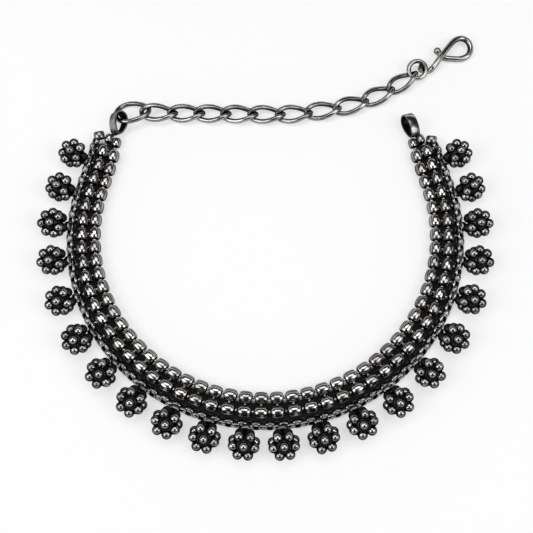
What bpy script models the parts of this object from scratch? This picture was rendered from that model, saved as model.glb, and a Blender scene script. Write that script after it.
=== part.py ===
"""Oxidised silver choker: two rows of barrel beads, an edge chain with ball drops, an extension chain and a hook.

The choker lies flat and open on a table, seen from above with the gap at the top.
X runs to the right, Y towards the open side, Z up, and every length is in metres.
The origin is under the middle of the whole outline, on the table.
"""
import math

import bmesh
import bpy
from mathutils import Matrix, Vector

MM = 0.001

# Places are measured from the middle of the photo; this moves the outline's middle to the origin.
FRAME_SHIFT = (0.35 * MM, -12.49 * MM)

# The band: a round arc whose last beads spring outwards.
BAND_CENTRE = (-0.4 * MM, 13.5 * MM)
BAND_RADIUS = 58.75 * MM
BEAD_COUNT = 51
FIRST_BEAD_ANGLE = 148.0
LAST_BEAD_ANGLE = 390.8
END_SPRING_BEADS = 4.0
END_SPRING_LEFT = 4.2 * MM
END_SPRING_RIGHT = 3.0 * MM
END_SPRING_POWER = 2.6

# Barrel beads of the two rows.
BEAD_RADIUS = 1.95 * MM
BEAD_COLLAR_RADIUS = 1.7 * MM
BEAD_NECK_RADIUS = 0.6 * MM
BEAD_LENGTH = 4.3 * MM
BEAD_SIDES = 10
END_BEAD_SCALE = 0.76

# How far apart the rows run; the bottom of the band is the widest part.
GAP = 0.3 * MM
ROW_SPACING_ENDS = 2 * BEAD_RADIUS + GAP
ROW_SPACING_MIDDLE = 4.45 * MM
END_ROW_SPACING = 2 * END_BEAD_SCALE * BEAD_RADIUS + GAP

# The edge chain is a plain tube here.
EDGE_RADIUS = 1.4 * MM
EDGE_OFFSET = BEAD_RADIUS + GAP + EDGE_RADIUS
EDGE_POINTS = 48
EDGE_START_BEAD = 0.35

# Ball drops.
DROP_COUNT = 22
FIRST_DROP_ANGLE = 158.5
LAST_DROP_ANGLE = 381.4
DROP_BUNCHING = 2.1
DROP_BUNCH_INDEX = 10.2
DROP_BUNCH_PERIOD = 14.5
DROP_RADIUS = 5.2 * MM
DROP_OFFSET_ENDS = 5.0 * MM
DROP_OFFSET_MIDDLE = 6.3 * MM
DROP_LOBES = 7
DROP_LOBE_DEPTH = 0.055
DROP_NECK_RADIUS = 0.85 * MM
DROP_NECK_GAP = 0.42 * MM

# Extension chain: twisted oval links.
LINK_COUNT = 11
LINK_WIRE = 1.15 * MM
LINK_LENGTH = 14.0 * MM
LINK_WIDTH = 6.9 * MM
LINK_TWIST = 45.0
LINK_SEGMENTS = 14
WIRE_SIDES = 6
LINK_HEIGHT = 1.68 * MM

# Chosen points of the chain's path, taken from the photo, from the second link to the last.
CHAIN_PATH = (
    (-38.8, 57.85), (-29.0, 57.7), (-19.5, 57.5), (-9.8, 57.3), (0.0, 57.2), (9.9, 57.4),
    (20.4, 58.8), (30.6, 61.0), (40.6, 65.0), (49.8, 70.6),
)

# The first link is rounder; it leans on the strip loop it passes through and props up the second.
FIRST_LINK_CENTRE = (-48.13, 57.74, 2.38)
FIRST_LINK_LENGTH = 14.0 * MM
FIRST_LINK_WIDTH = 10.9 * MM
FIRST_LINK_HEADING = 1.3
FIRST_LINK_RISE = 8.5
FIRST_LINK_ROLL = -18.7
SECOND_LINK_HEIGHT = 2.8 * MM
SECOND_LINK_RISE = -6.8

# The last link turns a little to meet the ring.
LAST_LINK_HEIGHT = 1.82 * MM
LAST_LINK_HEADING = 34.5
LAST_LINK_RISE = 2.7
LAST_LINK_ROLL = -10.7

# Ring between the chain and the hook.
RING_CENTRE = (55.5, 75.3, 2.65)
RING_OUTER = 8.6 * MM
RING_WIRE = 1.36 * MM
RING_RISE = 0.0
RING_ROLL = 16.0

# Hook: bent round wire with a ball on its tip, listed as chosen points of its centre line.
HOOK_WIRE = 1.5 * MM
HOOK_SIDES = 8
HOOK_BALL = 2.6 * MM
HOOK_PATH = (
    (56.9, 76.2, 3.6), (56.8, 76.1, 1.9), (57.5, 76.0, 1.0), (58.9, 75.8, 0.78), (60.3, 75.7, 1.2),
    (61.5, 76.5, 2.2), (63.5, 79.2, 2.9), (66.0, 82.6, 3.1), (68.6, 86.0, 2.9), (70.6, 88.0, 2.6),
    (73.0, 88.8, 2.2), (75.3, 87.7, 1.75), (76.1, 84.9, 1.35), (75.0, 82.2, 1.05), (72.4, 80.9, 0.85),
    (69.2, 80.9, 0.78), (66.3, 81.3, 0.78), (65.1, 82.3, 0.9), (64.3, 83.2, 1.15),
)

# Strip loops at the two band ends.
STRIP_WIDTH = 2.9 * MM
STRIP_THICKNESS = 0.75 * MM
LOOP_LENGTH = 9.2 * MM
LOOP_WIDTH = 6.4 * MM
LEFT_LOOP_CENTRE = (-52.6, 53.5)
LEFT_LOOP_HEADING = 83.4
LEFT_LOOP_LEAN = 49.0
RIGHT_LOOP_CENTRE = (51.2, 52.5)
RIGHT_LOOP_HEADING = 110.0
RIGHT_LOOP_LEAN = -60.0

# Dark oxidised silver.
SILVER = (0.13, 0.13, 0.135, 1.0)
SILVER_ROUGHNESS = 0.32

# Edges that turn more than this stay sharp under smooth shading.
SHARP_ANGLE = 65.0


def clear_scene():
    """Remove everything that a new file starts with."""
    for item in list(bpy.data.objects):
        bpy.data.objects.remove(item, do_unlink=True)


def make_material(name):
    """Return a dark metal material of its own for one piece."""
    material = bpy.data.materials.new(name)
    material.use_nodes = True
    shader = material.node_tree.nodes["Principled BSDF"]
    shader.inputs["Base Color"].default_value = SILVER
    shader.inputs["Metallic"].default_value = 1.0
    shader.inputs["Roughness"].default_value = SILVER_ROUGHNESS
    material.diffuse_color = SILVER
    return material


def add_object(name, bm):
    """Turn a bmesh into one named object, its origin under its middle, with its own material."""
    bmesh.ops.recalc_face_normals(bm, faces=bm.faces)
    low = [min(vertex.co[axis] for vertex in bm.verts) for axis in range(3)]
    high = [max(vertex.co[axis] for vertex in bm.verts) for axis in range(3)]
    foot = Vector(((low[0] + high[0]) / 2, (low[1] + high[1]) / 2, low[2]))
    bmesh.ops.translate(bm, verts=bm.verts, vec=-foot)
    mesh = bpy.data.meshes.new(name)
    bm.to_mesh(mesh)
    bm.free()
    mesh.shade_smooth()
    mesh.set_sharp_from_angle(angle=math.radians(SHARP_ANGLE))
    item = bpy.data.objects.new(name, mesh)
    item.location = foot + Vector((FRAME_SHIFT[0], FRAME_SHIFT[1], 0.0))
    bpy.context.collection.objects.link(item)
    mesh.materials.append(make_material(name + "_metal"))
    return item


def add_ring(bm, points):
    """Add one closed loop of edges through the points and return its edges."""
    corners = [bm.verts.new(point) for point in points]
    return [bm.edges.new((corners[k - 1], corners[k])) for k in range(len(corners))]


def bridge(bm, first, second):
    """Join two loops of the same length with quads."""
    bmesh.ops.bridge_loops(bm, edges=first + second)


def cap(bm, ring):
    """Close one loop with a flat face."""
    bmesh.ops.contextual_create(bm, geom=ring)


def circle_points(centre, side, up, radius, count, start=0.0):
    """Return a circle of points in the plane of two unit vectors."""
    points = []
    for k in range(count):
        angle = start + 2 * math.pi * k / count
        points.append(centre + side * (radius * math.cos(angle)) + up * (radius * math.sin(angle)))
    return points


def end_spring(bead):
    """Return how far a bead position has sprung outwards at the band's ends."""
    left = max(0.0, END_SPRING_BEADS - bead) / END_SPRING_BEADS
    right = max(0.0, bead - (BEAD_COUNT - 1 - END_SPRING_BEADS)) / END_SPRING_BEADS
    return END_SPRING_LEFT * left ** END_SPRING_POWER + END_SPRING_RIGHT * right ** END_SPRING_POWER


def row_spacing(bead):
    """Return the distance between the bead rows at a bead position."""
    along = min(max(bead / (BEAD_COUNT - 1), 0.0), 1.0)
    spacing = ROW_SPACING_ENDS + (ROW_SPACING_MIDDLE - ROW_SPACING_ENDS) * math.sin(math.pi * along) ** 2
    nearest = min(bead, BEAD_COUNT - 1 - bead)
    squeeze = min(max(1.0 - nearest, 0.0), 1.0)
    return spacing + (END_ROW_SPACING - spacing) * squeeze


def bead_angle(bead):
    """Return the angle of a bead position in radians."""
    share = bead / (BEAD_COUNT - 1)
    return math.radians(FIRST_BEAD_ANGLE + (LAST_BEAD_ANGLE - FIRST_BEAD_ANGLE) * share)


def band_point(bead, offset, height):
    """Return a point of the band, offset outwards from the inner row."""
    angle = bead_angle(bead)
    radius = BAND_RADIUS + end_spring(bead) + offset
    x = BAND_CENTRE[0] + radius * math.cos(angle)
    y = BAND_CENTRE[1] + radius * math.sin(angle)
    return Vector((x, y, height))


def build_bead_row(name, outer):
    """Build one row of barrel beads as a single solid joined by thin necks."""
    def place(bead):
        offset = row_spacing(bead) if outer else 0.0
        scale = END_BEAD_SCALE if bead < 0.5 or bead > BEAD_COUNT - 1.5 else 1.0
        return band_point(bead, offset, BEAD_RADIUS * scale), scale

    bm = bmesh.new()
    rings = []
    for bead in range(BEAD_COUNT):
        centre, scale = place(bead)
        ahead = place(min(bead + 0.4, BEAD_COUNT - 1.0))[0]
        behind = place(max(bead - 0.4, 0.0))[0]
        tangent = (ahead - behind)
        tangent.z = 0.0
        tangent.normalize()
        side = Vector((tangent.y, -tangent.x, 0.0))
        up = Vector((0.0, 0.0, 1.0))
        start = math.pi / 2
        half = BEAD_LENGTH * 0.5 * (0.8 if scale < 1 else 1.0)
        for shift, radius in ((-half, BEAD_COLLAR_RADIUS), (0.0, BEAD_RADIUS), (half, BEAD_COLLAR_RADIUS)):
            points = circle_points(centre + tangent * shift, side, up, radius * scale, BEAD_SIDES, start)
            rings.append(add_ring(bm, points))
        if bead < BEAD_COUNT - 1:
            following, following_scale = place(bead + 1)
            middle = (centre + following) / 2
            along = following - centre
            along.z = 0.0
            along.normalize()
            across = Vector((along.y, -along.x, 0.0))
            rings.append(add_ring(bm, circle_points(middle, across, up, BEAD_NECK_RADIUS, BEAD_SIDES, start)))
    for first, second in zip(rings, rings[1:]):
        bridge(bm, first, second)
    cap(bm, rings[0])
    cap(bm, rings[-1])
    return add_object(name, bm)


def build_edge_chain(name):
    """Build the trim chain along the outer row as one tube."""
    curve = bpy.data.curves.new(name, "CURVE")
    curve.dimensions = "3D"
    curve.bevel_depth = EDGE_RADIUS
    curve.bevel_resolution = 3
    curve.use_fill_caps = True
    curve.render_resolution_u = 0
    spline = curve.splines.new("POLY")
    spline.points.add(EDGE_POINTS - 1)
    for k in range(EDGE_POINTS):
        bead = EDGE_START_BEAD + (BEAD_COUNT - 1 - 2 * EDGE_START_BEAD) * k / (EDGE_POINTS - 1)
        point = band_point(bead, edge_offset(bead), EDGE_RADIUS)
        spline.points[k].co = (point.x + FRAME_SHIFT[0], point.y + FRAME_SHIFT[1], point.z, 1.0)
    item = bpy.data.objects.new(name, curve)
    bpy.context.collection.objects.link(item)
    curve.materials.append(make_material(name + "_metal"))
    return item


def edge_offset(bead):
    """Return the edge chain's distance from the inner row."""
    along = min(max(bead / (BEAD_COUNT - 1), 0.0), 1.0)
    spacing = ROW_SPACING_ENDS + (ROW_SPACING_MIDDLE - ROW_SPACING_ENDS) * math.sin(math.pi * along) ** 2
    return spacing + EDGE_OFFSET


def drop_angle(index):
    """Return a drop's angle in degrees; the drops bunch up at the bottom of the band."""
    even = FIRST_DROP_ANGLE + (LAST_DROP_ANGLE - FIRST_DROP_ANGLE) * index / (DROP_COUNT - 1)
    turn = 2 * math.pi * (index - DROP_BUNCH_INDEX) / DROP_BUNCH_PERIOD
    return even - DROP_BUNCHING * math.sin(min(max(turn, -math.pi), math.pi))


def build_drop(name, index):
    """Build one ball drop: a lobed ball whose neck points down at the edge chain."""
    angle = drop_angle(index)
    span = LAST_BEAD_ANGLE - FIRST_BEAD_ANGLE
    bead = (BEAD_COUNT - 1) * (angle - FIRST_BEAD_ANGLE) / span
    chain_point = band_point(bead, edge_offset(bead), EDGE_RADIUS)
    outward = Vector((math.cos(math.radians(angle)), math.sin(math.radians(angle)), 0.0))
    arch = math.sin(math.pi * index / (DROP_COUNT - 1))
    offset = DROP_OFFSET_ENDS + (DROP_OFFSET_MIDDLE - DROP_OFFSET_ENDS) * arch
    centre = chain_point + outward * offset
    centre.z = DROP_RADIUS
    neck = chain_point - centre
    reach = neck.length - EDGE_RADIUS - DROP_NECK_GAP
    neck.normalize()
    side = outward.cross(Vector((0.0, 0.0, 1.0))).normalized()
    up = neck.cross(side).normalized()
    bm = bmesh.new()
    rings = []
    profile = (
        (reach, DROP_NECK_RADIUS, 0), (0.83 * DROP_RADIUS, DROP_NECK_RADIUS, 0),
        (0.76 * DROP_RADIUS, 0.56 * DROP_RADIUS, 1), (0.34 * DROP_RADIUS, 0.89 * DROP_RADIUS, 2),
        (-0.36 * DROP_RADIUS, 0.885 * DROP_RADIUS, 1), (-0.80 * DROP_RADIUS, 0.56 * DROP_RADIUS, 2),
    )
    count = 2 * DROP_LOBES
    for shift, radius, phase in profile:
        points = []
        for k in range(count):
            turn = 2 * math.pi * k / count
            lobe = 1.0
            if phase:
                lobe = 1.0 + DROP_LOBE_DEPTH * (1 if (k + phase) % 2 else -1)
            sweep = side * math.cos(turn) + up * math.sin(turn)
            points.append(centre + neck * shift + sweep * (radius * lobe))
        rings.append(add_ring(bm, points))
    for first, second in zip(rings, rings[1:]):
        bridge(bm, first, second)
    cap(bm, rings[0])
    tip = bm.verts.new(centre - neck * DROP_RADIUS)
    for edge in rings[-1]:
        bm.faces.new((edge.verts[0], edge.verts[1], tip))
    lowest = min(vertex.co.z for vertex in bm.verts)
    highest = max(vertex.co.z for vertex in bm.verts)
    stretch = 2 * DROP_RADIUS / (highest - lowest)
    for vertex in bm.verts:
        vertex.co.z = (vertex.co.z - lowest) * stretch
    return add_object(name, bm)


def sweep_wire(bm, points, radii, sides, closed):
    """Sweep a round section along points with frames carried from one to the next."""
    count = len(points)
    tangents = []
    for k in range(count):
        if closed:
            tangent = points[(k + 1) % count] - points[k - 1]
        else:
            tangent = points[min(k + 1, count - 1)] - points[max(k - 1, 0)]
        tangents.append(tangent.normalized())
    side = tangents[0].orthogonal().normalized()
    if abs(tangents[0].z) < 0.9:
        side = tangents[0].cross(Vector((0.0, 0.0, 1.0))).normalized()
    sides_list = []
    for tangent in tangents:
        side = (side - tangent * side.dot(tangent)).normalized()
        sides_list.append(side.copy())
    if closed:
        back = (sides_list[-1] - tangents[0] * sides_list[-1].dot(tangents[0])).normalized()
        error = math.atan2(back.cross(sides_list[0]).dot(tangents[0]), back.dot(sides_list[0]))
        for k in range(count):
            turn = Matrix.Rotation(error * k / count, 3, tangents[k])
            sides_list[k] = turn @ sides_list[k]
    rings = []
    for k in range(count):
        up = tangents[k].cross(sides_list[k])
        rings.append(add_ring(bm, circle_points(points[k], sides_list[k], up, radii[k], sides)))
    for first, second in zip(rings, rings[1:]):
        bridge(bm, first, second)
    if closed:
        bridge(bm, rings[-1], rings[0])
    else:
        cap(bm, rings[0])
        cap(bm, rings[-1])


def oval_points(length, width, twist, place, count=LINK_SEGMENTS):
    """Return the centre line of an oval link, twisted about its long axis."""
    points = []
    for k in range(count):
        turn = 2 * math.pi * k / count
        reach = (length - LINK_WIRE) / 2 * math.cos(turn)
        across = (width - LINK_WIRE) / 2 * math.sin(turn)
        angle = -math.radians(twist) * math.cos(turn)
        points.append(place @ Vector((reach, across * math.cos(angle), across * math.sin(angle))))
    return points


def link_place(centre, heading, rise, roll):
    """Return where a link goes: its centre, then its turns about Z, Y and X in degrees."""
    place = Matrix.Translation(centre)
    place @= Matrix.Rotation(math.radians(heading), 4, "Z")
    place @= Matrix.Rotation(-math.radians(rise), 4, "Y")
    place @= Matrix.Rotation(math.radians(roll), 4, "X")
    return place


def build_link(name, index):
    """Build one link of the extension chain."""
    if index == 0:
        place = link_place(Vector(FIRST_LINK_CENTRE) * MM, FIRST_LINK_HEADING, FIRST_LINK_RISE, FIRST_LINK_ROLL)
        points = oval_points(FIRST_LINK_LENGTH, FIRST_LINK_WIDTH, 0.0, place)
    else:
        x, y = CHAIN_PATH[index - 1]
        before = CHAIN_PATH[max(index - 2, 0)]
        after = CHAIN_PATH[min(index, LINK_COUNT - 2)]
        heading = math.degrees(math.atan2(after[1] - before[1], after[0] - before[0]))
        height = LINK_HEIGHT
        rise = 0.0
        roll = 0.0
        if index == 1:
            height = SECOND_LINK_HEIGHT
            rise = SECOND_LINK_RISE
        if index == LINK_COUNT - 1:
            height = LAST_LINK_HEIGHT
            heading = LAST_LINK_HEADING
            rise = LAST_LINK_RISE
            roll = LAST_LINK_ROLL
        place = link_place(Vector((x * MM, y * MM, height)), heading, rise, roll)
        points = oval_points(LINK_LENGTH, LINK_WIDTH, LINK_TWIST, place)
    bm = bmesh.new()
    sweep_wire(bm, points, [LINK_WIRE / 2] * len(points), WIRE_SIDES, True)
    return add_object(name, bm)


def build_jump_ring(name):
    """Build the plain ring that joins the chain and the hook."""
    place = link_place(Vector(RING_CENTRE) * MM, 0.0, RING_RISE, RING_ROLL)
    radius = (RING_OUTER - RING_WIRE) / 2
    points = []
    for k in range(LINK_SEGMENTS):
        turn = 2 * math.pi * (k + 0.5) / LINK_SEGMENTS
        points.append(place @ Vector((radius * math.cos(turn), radius * math.sin(turn), 0.0)))
    bm = bmesh.new()
    sweep_wire(bm, points, [RING_WIRE / 2] * len(points), WIRE_SIDES, True)
    return add_object(name, bm)


def build_hook(name):
    """Build the bent wire hook, its eye round the ring and the ball on its tip."""
    points = [Vector(point) * MM for point in HOOK_PATH]
    radii = [HOOK_WIRE / 2] * len(points)
    heading = (points[-1] - points[-2]).normalized()
    ball = HOOK_BALL / 2
    start = points[-1].copy()
    for share in (0.35, 0.75, 1.25, 1.65, 1.93):
        depth = ball * (share - 1.0)
        points.append(start + heading * (ball * share - ball * 0.2))
        radii.append(max(math.sqrt(ball * ball - depth * depth), 0.1 * ball))
    bm = bmesh.new()
    sweep_wire(bm, points, radii, HOOK_SIDES, False)
    lowest = min(vertex.co.z for vertex in bm.verts)
    for vertex in bm.verts:
        vertex.co.z -= lowest
    return add_object(name, bm)


def loop_outline(count=14):
    """Return a teardrop outline: along runs from the joint to the round end."""
    outline = []
    half_length = (LOOP_LENGTH - STRIP_THICKNESS) / 2
    half_width = (LOOP_WIDTH - STRIP_THICKNESS) / 2
    for k in range(count):
        turn = 2 * math.pi * k / count
        along = -math.cos(turn)
        narrow = 1.0 - 0.38 * (1.0 - (along + 1.0) / 2.0)
        outline.append((half_length * along, half_width * math.sin(turn) * narrow))
    return outline


def build_strip_loop(name, centre, heading_degrees, lean_degrees):
    """Build a teardrop loop of flat strip, leaning over on its edge."""
    heading = math.radians(heading_degrees)
    lean = math.radians(lean_degrees)
    forward = Vector((math.cos(heading), math.sin(heading), 0.0))
    left = Vector((-math.sin(heading), math.cos(heading), 0.0))
    across = left * math.cos(lean) + Vector((0.0, 0.0, 1.0)) * math.sin(lean)
    axis = forward.cross(across).normalized()
    outline = loop_outline()
    count = len(outline)
    middle = Vector((centre[0] * MM, centre[1] * MM, 0.0))
    bm = bmesh.new()
    rings = []
    for k in range(count):
        here = Vector(outline[k])
        ahead = Vector(outline[(k + 1) % count])
        behind = Vector(outline[k - 1])
        tangent = (ahead - behind).normalized()
        normal = Vector((tangent.y, -tangent.x))
        ring = []
        for out, wide in ((0.5, -0.5), (0.5, 0.5), (-0.5, 0.5), (-0.5, -0.5)):
            flat = here + normal * (out * STRIP_THICKNESS)
            ring.append(middle + forward * flat.x + across * flat.y + axis * (wide * STRIP_WIDTH))
        rings.append(add_ring(bm, ring))
    for first, second in zip(rings, rings[1:]):
        bridge(bm, first, second)
    bridge(bm, rings[-1], rings[0])
    lowest = min(vertex.co.z for vertex in bm.verts)
    for vertex in bm.verts:
        vertex.co.z -= lowest
    return add_object(name, bm)


def main():
    """Build every piece."""
    clear_scene()
    build_bead_row("inner_bead_row", False)
    build_bead_row("outer_bead_row", True)
    build_edge_chain("edge_chain")
    for index in range(DROP_COUNT):
        build_drop("ball_drop_%02d" % (index + 1), index)
    for index in range(LINK_COUNT):
        build_link("chain_link_%02d" % (index + 1), index)
    build_jump_ring("jump_ring")
    build_hook("hook")
    build_strip_loop("end_loop_left", LEFT_LOOP_CENTRE, LEFT_LOOP_HEADING, LEFT_LOOP_LEAN)
    build_strip_loop("end_loop_right", RIGHT_LOOP_CENTRE, RIGHT_LOOP_HEADING, RIGHT_LOOP_LEAN)


main()
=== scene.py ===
"""Looks for an oxidised silver choker with paired bead rows, granulated ball drops and a hook.

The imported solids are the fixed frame. Each piece is modelled again here in fine detail, in its place.
Lengths are in metres, X to the right, Y towards the open side of the choker, Z up.
"""

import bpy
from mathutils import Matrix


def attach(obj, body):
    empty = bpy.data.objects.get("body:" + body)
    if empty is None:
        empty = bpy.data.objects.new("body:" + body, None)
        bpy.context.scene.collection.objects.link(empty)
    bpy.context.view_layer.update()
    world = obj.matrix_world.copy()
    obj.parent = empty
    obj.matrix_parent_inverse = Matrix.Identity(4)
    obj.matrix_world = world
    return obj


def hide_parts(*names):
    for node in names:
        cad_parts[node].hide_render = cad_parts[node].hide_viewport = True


bl_info = {
    "name": "Silver ball drop choker",
    "version": (1, 0, 0),
    "blender": (4, 5, 0),
    "location": "3D View > Sidebar > Choker",
    "description": "Builds the beads, trim chain, ball drops, chain links, clasp and studio of a choker",
    "category": "Add Mesh",
}

import math

import bmesh
import bpy
from bpy.props import FloatProperty, FloatVectorProperty, IntProperty, PointerProperty
from mathutils import Matrix, Vector, geometry, noise

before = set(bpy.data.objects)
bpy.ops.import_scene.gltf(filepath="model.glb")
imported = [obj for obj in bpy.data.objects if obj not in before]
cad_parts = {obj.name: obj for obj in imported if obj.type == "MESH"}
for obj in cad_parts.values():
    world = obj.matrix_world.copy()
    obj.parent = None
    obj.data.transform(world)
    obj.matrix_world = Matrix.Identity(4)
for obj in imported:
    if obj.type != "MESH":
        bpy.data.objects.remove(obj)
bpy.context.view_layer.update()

MM = 0.001
UP = Vector((0.0, 0.0, 1.0))

# Places are listed from the middle of the photo's view; this moves them to the frame's origin.
FRAME_SHIFT = Vector((0.35, -12.49, 0.0)) * MM

# The band's ends spring outwards over their last beads, slowly at first.
SPRING_BEADS = 4.0
SPRING_POWER = 2.6

# A barrel bead's side from its end to near its middle: share of the half length, share of the radius.
BEAD_SIDE = (
    (0.985, 0.40), (1.0, 0.52), (0.97, 0.62), (0.93, 0.61), (0.89, 0.77), (0.72, 0.90), (0.40, 0.975),
)

# Size of the silver's patches.
PATCH_SIZE = 1.6 * MM

# How square a link of the trim chain is; 2 would be an ellipse.
BOX_SQUARENESS = 3.4

# The two end links lie across the trim chain: turn and tilt in degrees, growth, and rise as a share.
END_LINK_TURN = 70.0
END_LINK_TILT = -103.0
END_LINK_GROWTH = (1.2, 1.2, 1.7)
END_LINK_RISE = 1.22

# The drops crowd towards this one, over this many drops.
BUNCHING_MIDDLE = 10.2
BUNCHING_SPREAD = 14.5

# The first link and the ring: middle in mm, then heading, rise and roll in degrees.
FIRST_LINK = ((-48.3, 57.6, 2.5), 1.3, 8.5, -18.7)
RING = ((55.5, 75.3, 2.65), 0.0, 0.0, 16.0)

# Middles of the extension chain's links in plan, from the second link to the last, in mm.
CHAIN_PATH = (
    (-38.8, 57.4), (-29.0, 57.65), (-19.5, 57.5), (-9.8, 57.3), (0.0, 57.2), (9.9, 57.4),
    (20.4, 58.8), (30.6, 61.0), (40.6, 65.0), (49.8, 70.6),
)

# The second link rests on the first, and the last hangs in the ring: height in mm, turns in degrees.
SECOND_LINK_HEIGHT = 2.8
SECOND_LINK_RISE = -6.8
LAST_LINK_HEIGHT = 1.82
LAST_LINK_TURNS = (34.5, 2.7, -10.7)

# Bends of the hook's centre line, from its eye in the ring to the tip under the ball, in mm.
HOOK_PATH = (
    (56.9, 76.2, 3.6), (56.8, 76.1, 1.9), (57.5, 76.0, 1.0), (58.9, 75.8, 0.78), (60.3, 75.7, 1.2),
    (61.5, 76.5, 2.2), (63.5, 79.2, 2.9), (66.0, 82.6, 3.1), (68.6, 86.0, 2.9), (70.6, 88.0, 2.6),
    (73.0, 88.8, 2.2), (75.3, 87.7, 1.75), (76.1, 84.9, 1.35), (75.0, 82.2, 1.05), (72.4, 80.9, 0.85),
    (69.2, 80.9, 0.78), (66.3, 81.3, 0.78), (65.1, 82.3, 0.9), (64.3, 83.2, 1.15),
)

# Middle of the hook's round bow, and how far from it the wire counts as the bow.
HOOK_BOW = Vector((71.6, 84.9, 0.0)) * MM
HOOK_BOW_REACH = 6.8 * MM

# The end loops: middle in plan in mm, heading and lean in degrees.
LEFT_LOOP = ((-53.0, 52.9), 83.4, 49.0)
RIGHT_LOOP = ((51.5, 51.9), 110.0, -79.0)

# How much narrower a loop is at the band than at its middle, as a share of the way there.
LOOP_NARROWING = 0.19


def both_sides(directions):
    """Return directions, each that points sideways followed by its mirror image."""
    return [(x * side, y, z) for x, y, z in directions for side in ((1.0, -1.0) if x else (1.0,))]


# Directions of a ball's granules from its middle: to the side, away from the band, towards the viewer.
# The first ones of each list are what the photo shows; the rest close the ball underneath.
PAIRED_TIP = both_sides((
    (0.0, 0.21, 0.98), (0.49, -0.60, 0.64), (0.92, 0.21, 0.33), (0.45, 0.89, 0.05), (0.95, -0.28, -0.15),
    (0.43, -0.89, -0.12), (0.70, 0.32, -0.64), (0.0, 0.62, -0.78), (0.0, -0.15, -0.99),
))
SINGLE_TIP = both_sides((
    (0.0, 0.30, 0.95), (0.50, -0.50, 0.71), (0.98, -0.05, 0.16), (0.76, 0.64, 0.05), (0.0, 1.0, 0.0),
    (0.80, -0.52, -0.28), (0.46, -0.86, 0.05), (0.55, 0.28, -0.78), (0.0, -0.50, -0.86),
))
TURNED_TIP = (
    (-0.09, 0.42, 0.90), (0.40, -0.32, 0.86), (-0.60, -0.34, 0.72), (0.92, 0.0, -0.30),
    (-0.96, 0.26, 0.10), (0.80, 0.58, 0.16), (-0.50, 0.86, 0.05), (0.30, 0.94, -0.14),
    (0.80, -0.58, 0.18), (-0.84, -0.44, -0.32), (0.0, -0.86, 0.30), (0.46, -0.70, -0.54),
    (0.50, 0.30, -0.81), (-0.45, 0.38, -0.80), (-0.30, -0.60, -0.74),
)

# The shade on the table under the band: its darkness by tenths of a metre from the band's middle. It moves
# out with the sprung ends (start, steepness, reach) and stops where the band does (end, steepness).
SHADE_STOPS = ((0.582, 0.0), (0.596, 1.0), (0.662, 1.0), (0.676, 0.0))
SHADE_SPRING = (0.0128, 54.6, 0.0030)
SHADE_END = (0.0343, 600.0)


def setting(kind, **fixed):
    """Return a maker of one kind of sidebar setting, from a name, a description and a default."""
    return lambda name, text, default: kind(name=name, description=text, default=default, **fixed)


metres = setting(FloatProperty, unit="LENGTH", precision=5)
fraction = setting(FloatProperty, subtype="FACTOR", min=0.0, max=1.0)
brightness = setting(FloatProperty, min=0.0)
number = setting(IntProperty, min=2)
colour = setting(FloatVectorProperty, subtype="COLOR", size=3, min=0.0, max=1.0)


def degrees(name, description, default):
    """Return an angle setting for the sidebar, in radians inside."""
    return FloatProperty(name=name, description=description, default=math.radians(default), subtype="ANGLE")


class ChokerBandSizes(bpy.types.PropertyGroup):
    """Sizes of the two bead rows."""

    radius: metres("Band radius", "Radius of the inner row's centre line", 0.05875)
    centre_x: metres("Centre X", "Middle of the band across the open side", -0.0004)
    centre_y: metres("Centre Y", "Middle of the band towards the open side", 0.0135)
    beads: number("Beads", "Beads in one row", 51)
    first_angle: degrees("First bead", "Direction of the first bead", 148.0)
    last_angle: degrees("Last bead", "Direction of the last bead", 390.8)
    bead_radius: metres("Bead radius", "Radius of a barrel bead at its middle", 0.00207)
    bead_length: metres("Bead length", "Length of a barrel bead along its row", 0.0042)
    end_scale: fraction("End bead scale", "Thickness of the last beads", 0.76)
    end_length_scale: fraction("End bead length", "Length of the last beads", 0.8)
    groove_depth: fraction("Groove depth", "Depth of a bead's grooves", 0.05)
    spacer_radius: metres("Spacer radius", "Radius of the balls between the beads", 0.0006)
    tie_scale: fraction("Tie scale", "Size of the ties between the rows", 0.8)
    knob_gap: metres("Knob gap", "From an outer bead to the knob beside it", 0.0003)
    knob_height: metres("Knob height", "Height of those knobs above the table", 0.0022)
    spring_left: metres("Left spring", "How far the left end springs outwards", 0.0042)
    spring_right: metres("Right spring", "How far the right end springs outwards", 0.0030)
    crowding: fraction("Crowding", "Share of a bead they crowd to the ends by", 0.13)
    row_inset: metres("Row inset", "How far both rows lie inside their line", 0.0004)
    row_pitch: metres("Row pitch", "Distance between the rows at the ends", 0.0042)
    middle_spacing: metres("Middle spacing", "Distance between the rows in the middle", 0.00445)


class ChokerTrimSizes(bpy.types.PropertyGroup):
    """Sizes of the trim chain beside the outer row."""

    offset: metres("Trim offset", "From the outer row to the trim chain", 0.00365)
    radius: metres("Trim radius", "Half the width across its corners", 0.0014)
    height: metres("Trim height", "Height of its middle above the table", 0.0015)
    links: number("Trim links", "Links in the trim chain", 129)
    link_length: metres("Link length", "Outer length of a link", 0.0031)
    link_height: metres("Link height", "Outer height of a link", 0.0027)
    strip_width: metres("Strip width", "Width of a link's strip", 0.00148)
    strip_thickness: metres("Strip thickness", "Thickness of a link's strip", 0.00042)
    start: fraction("Start", "Share of a bead left free at each end", 0.10)
    end_curl: metres("End curl", "How far the chain's ends curl towards the beads", 0.0021)


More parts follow.
